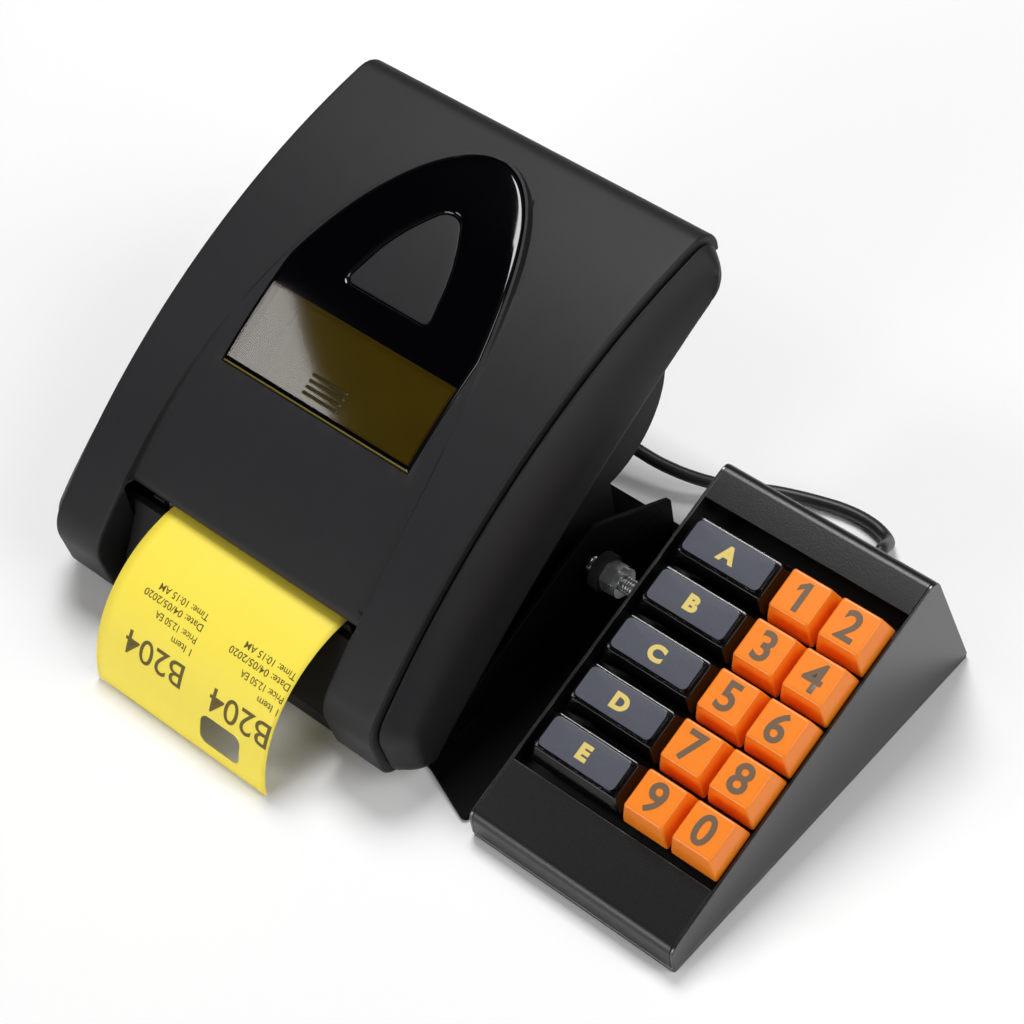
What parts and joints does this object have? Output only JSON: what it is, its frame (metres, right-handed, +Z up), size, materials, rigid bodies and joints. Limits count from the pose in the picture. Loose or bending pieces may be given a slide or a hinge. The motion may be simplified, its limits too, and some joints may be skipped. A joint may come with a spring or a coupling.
{
  "type": "ticket printer",
  "caption": "Low curved counter printer with a hinged cover, smoked window and hanging yellow ticket, bolted to a sloped keypad with orange number keys and label keys.",
  "frame": {"origin": "middle of the printer and keypad together, on the counter top", "axes": "+X to the keypad's side, +Y to the back, +Z up"},
  "size_m": [0.2726, 0.204, 0.1106],
  "materials": {
    "shell": "fine matte texture",
    "housing": "matte",
    "smoked": "polished, smoked",
    "powder_coat": "satin powder coat",
    "zinc": "zinc plated",
    "steel": "ground",
    "rubber": "matte",
    "gear_plastic": "moulded",
    "paper": "uncoated yellow ticket paper",
    "card": "grey board",
    "board": "circuit board",
    "socket": "moulded",
    "key_orange": "fine texture",
    "label_base": "fine texture",
    "label_clear": "clear over a grey card"
  },
  "bodies": {
    "base": {"mounting_bracket": "powder_coat", "clamp_bolt": "zinc", "bolt_collar": "rubber", "bolt_nuts": "zinc", "base_housing": "housing", "left_cheek": "shell", "right_cheek": "shell", "printer_feet": "rubber", "mech_frame": "zinc", "hinge_pin": "steel", "tear_bar": "steel", "stepper_motor": "steel", "ticket": "paper", "main_board": "board", "power_inlet": "socket", "keypad_port": "socket", "keypad_front_panel": "powder_coat", "keypad_rear_panel": "powder_coat", "keypad_left_wall": "powder_coat", "keypad_right_wall": "powder_coat", "keypad_floor": "powder_coat", "key_plate": "powder_coat", "key_switches": "socket", "keypad_board": "board", "cable_gland": "rubber", "cable_plug": "socket", "keypad_cable": "rubber"},
    "cover": {"top_cover": "shell", "window_lens": "smoked", "head_bracket": "zinc", "print_head": "steel"},
    "roll": {"paper_roll": "paper", "roll_core": "card", "roll_spindle": "gear_plastic"},
    "platen": {"platen_roller": "rubber", "platen_shaft": "steel", "platen_gear": "gear_plastic"},
    "idler": {"idler_gear": "gear_plastic"},
    "pinion": {"motor_pinion": "gear_plastic"},
    "rocker": {"power_switch": "socket"},
    "key_1": {"key_1": "key_orange"},
    "key_2": {"key_2": "key_orange"},
    "key_3": {"key_3": "key_orange"},
    "key_4": {"key_4": "key_orange"},
    "key_5": {"key_5": "key_orange"},
    "key_6": {"key_6": "key_orange"},
    "key_7": {"key_7": "key_orange"},
    "key_8": {"key_8": "key_orange"},
    "key_9": {"key_9": "key_orange"},
    "key_0": {"key_0": "key_orange"},
    "key_a": {"key_a_base": "label_base", "key_a_cap": "label_clear"},
    "key_b": {"key_b_base": "label_base", "key_b_cap": "label_clear"},
    "key_c": {"key_c_base": "label_base", "key_c_cap": "label_clear"},
    "key_d": {"key_d_base": "label_base", "key_d_cap": "label_clear"},
    "key_e": {"key_e_base": "label_base", "key_e_cap": "label_clear"}
  },
  "joints": [
    {"name": "cover_hinge", "type": "hinge", "parent": "base", "child": "cover", "pos_m": [-0.05325, 0.09198, 0.09781], "axis": [-1, 0, 0], "range_deg": [0, 75]},
    {"name": "roll_spin", "type": "hinge", "parent": "base", "child": "roll", "pos_m": [-0.04925, 0.04398, 0.06405], "axis": [1, 0, 0], "continuous": true},
    {"name": "platen_spin", "type": "hinge", "parent": "base", "child": "platen", "pos_m": [-0.04925, -0.04402, 0.03498], "axis": [1, 0, 0], "continuous": true},
    {"name": "idler_spin", "type": "hinge", "parent": "base", "child": "idler", "pos_m": [-0.09875, -0.0314, 0.02514], "axis": [1, 0, 0], "continuous": true},
    {"name": "pinion_spin", "type": "hinge", "parent": "base", "child": "pinion", "pos_m": [-0.09875, -0.01966, 0.02266], "axis": [1, 0, 0], "continuous": true},
    {"name": "power_rocker", "type": "hinge", "parent": "base", "child": "rocker", "pos_m": [-0.05925, 0.03908, 0.019], "axis": [-1, 0, 0], "range_deg": [0, 14]},
    {"name": "press_1", "type": "slide", "parent": "base", "child": "key_1", "axis": [0, 0.309, -0.9511], "range_m": [0, 0.0038], "stiffness_N_per_m": 80, "springref_m": -0.004},
    {"name": "press_2", "type": "slide", "parent": "base", "child": "key_2", "axis": [0, 0.309, -0.9511], "range_m": [0, 0.0038], "stiffness_N_per_m": 80, "springref_m": -0.004},
    {"name": "press_3", "type": "slide", "parent": "base", "child": "key_3", "axis": [0, 0.309, -0.9511], "range_m": [0, 0.0038], "stiffness_N_per_m": 80, "springref_m": -0.004},
    {"name": "press_4", "type": "slide", "parent": "base", "child": "key_4", "axis": [0, 0.309, -0.9511], "range_m": [0, 0.0038], "stiffness_N_per_m": 80, "springref_m": -0.004},
    {"name": "press_5", "type": "slide", "parent": "base", "child": "key_5", "axis": [0, 0.309, -0.9511], "range_m": [0, 0.0038], "stiffness_N_per_m": 80, "springref_m": -0.004},
    {"name": "press_6", "type": "slide", "parent": "base", "child": "key_6", "axis": [0, 0.309, -0.9511], "range_m": [0, 0.0038], "stiffness_N_per_m": 80, "springref_m": -0.004},
    {"name": "press_7", "type": "slide", "parent": "base", "child": "key_7", "axis": [0, 0.309, -0.9511], "range_m": [0, 0.0038], "stiffness_N_per_m": 80, "springref_m": -0.004},
    {"name": "press_8", "type": "slide", "parent": "base", "child": "key_8", "axis": [0, 0.309, -0.9511], "range_m": [0, 0.0038], "stiffness_N_per_m": 80, "springref_m": -0.004},
    {"name": "press_9", "type": "slide", "parent": "base", "child": "key_9", "axis": [0, 0.309, -0.9511], "range_m": [0, 0.0038], "stiffness_N_per_m": 80, "springref_m": -0.004},
    {"name": "press_0", "type": "slide", "parent": "base", "child": "key_0", "axis": [0, 0.309, -0.9511], "range_m": [0, 0.0038], "stiffness_N_per_m": 80, "springref_m": -0.004},
    {"name": "press_a", "type": "slide", "parent": "base", "child": "key_a", "axis": [0, 0.309, -0.9511], "range_m": [0, 0.0038], "stiffness_N_per_m": 80, "springref_m": -0.004},
    {"name": "press_b", "type": "slide", "parent": "base", "child": "key_b", "axis": [0, 0.309, -0.9511], "range_m": [0, 0.0038], "stiffness_N_per_m": 80, "springref_m": -0.004},
    {"name": "press_c", "type": "slide", "parent": "base", "child": "key_c", "axis": [0, 0.309, -0.9511], "range_m": [0, 0.0038], "stiffness_N_per_m": 80, "springref_m": -0.004},
    {"name": "press_d", "type": "slide", "parent": "base", "child": "key_d", "axis": [0, 0.309, -0.9511], "range_m": [0, 0.0038], "stiffness_N_per_m": 80, "springref_m": -0.004},
    {"name": "press_e", "type": "slide", "parent": "base", "child": "key_e", "axis": [0, 0.309, -0.9511], "range_m": [0, 0.0038], "stiffness_N_per_m": 80, "springref_m": -0.004}
  ],
  "couplings": [
    {"joint": "platen_spin", "follows": "roll_spin", "ratio": 4.0004},
    {"joint": "idler_spin", "follows": "roll_spin", "ratio": -4.8893},
    {"joint": "pinion_spin", "follows": "roll_spin", "ratio": 7.334}
  ]
}
